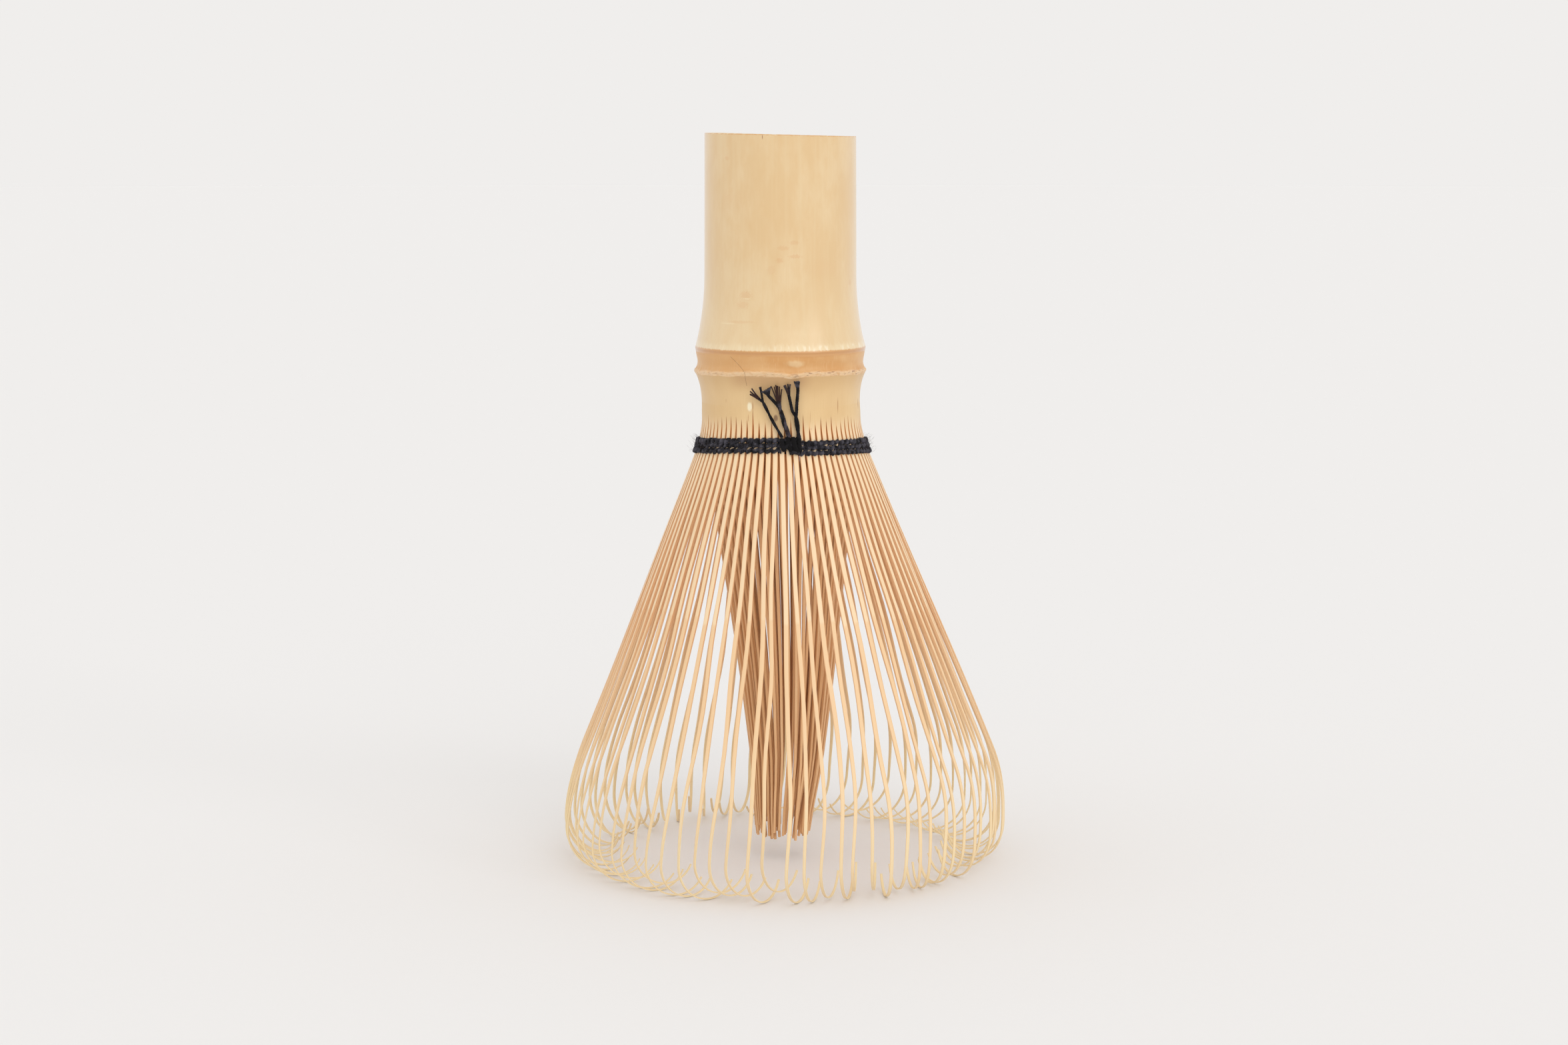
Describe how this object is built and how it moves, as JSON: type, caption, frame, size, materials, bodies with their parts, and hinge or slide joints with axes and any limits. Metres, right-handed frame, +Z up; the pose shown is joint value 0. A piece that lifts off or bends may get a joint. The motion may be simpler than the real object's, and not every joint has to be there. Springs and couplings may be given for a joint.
{
  "type": "bamboo tea whisk",
  "caption": "Hand whisk carved from one bamboo culm: tubular handle, waisted collar, thread-bound cage of thin curled outer tines round a closed bundle of inner tines.",
  "frame": {"origin": "under the middle of the whisk, on the level of its lowest tine tips, where it stands", "axes": "+Z up the handle's axis towards its cut end, -Y towards the front, where the thread's knot is, +X to the right seen from the front"},
  "size_m": [0.0673, 0.0668, 0.11],
  "materials": {
    "bamboo_skin": "pale dried bamboo skin, soft sheen",
    "bamboo_node": "tan bamboo node, satin",
    "bamboo_flesh": "unpolished bamboo flesh, matt",
    "bamboo_outer_tine": "split and shaved bamboo, satin",
    "bamboo_inner_tine": "split bamboo, matt",
    "black_cotton": "black twisted cotton thread"
  },
  "bodies": {
    "root": {"handle_culm": "bamboo_skin", "node_band": "bamboo_node", "node_septum": "bamboo_flesh", "collar": "bamboo_skin", "outer_tines_01": "bamboo_outer_tine", "outer_tines_02": "bamboo_outer_tine", "outer_tines_03": "bamboo_outer_tine", "outer_tines_04": "bamboo_outer_tine", "outer_tines_05": "bamboo_outer_tine", "outer_tines_06": "bamboo_outer_tine", "outer_tines_07": "bamboo_outer_tine", "outer_tines_08": "bamboo_outer_tine", "outer_tines_09": "bamboo_outer_tine", "outer_tines_10": "bamboo_outer_tine", "outer_tines_11": "bamboo_outer_tine", "outer_tines_12": "bamboo_outer_tine", "outer_tines_13": "bamboo_outer_tine", "outer_tines_14": "bamboo_outer_tine", "outer_tines_15": "bamboo_outer_tine", "outer_tines_16": "bamboo_outer_tine", "inner_tines_01": "bamboo_inner_tine", "inner_tines_02": "bamboo_inner_tine", "inner_tines_03": "bamboo_inner_tine", "inner_tines_04": "bamboo_inner_tine", "inner_tines_05": "bamboo_inner_tine", "inner_tines_06": "bamboo_inner_tine", "inner_tines_07": "bamboo_inner_tine", "inner_tines_08": "bamboo_inner_tine", "inner_tines_09": "bamboo_inner_tine", "inner_tines_10": "bamboo_inner_tine", "inner_tines_11": "bamboo_inner_tine", "inner_tines_12": "bamboo_inner_tine", "inner_tines_13": "bamboo_inner_tine", "inner_tines_14": "bamboo_inner_tine", "inner_tines_15": "bamboo_inner_tine", "inner_tines_16": "bamboo_inner_tine", "braid_row_upper": "black_cotton", "braid_row_middle": "black_cotton", "braid_row_lower": "black_cotton", "braid_weft": "black_cotton", "braid_knot": "black_cotton", "thread_tail_1": "black_cotton", "thread_tail_2": "black_cotton", "thread_tail_3": "black_cotton", "thread_tail_4": "black_cotton", "thread_tail_5": "black_cotton", "thread_tail_6": "black_cotton", "thread_tail_7": "black_cotton"}
  },
  "joints": []
}
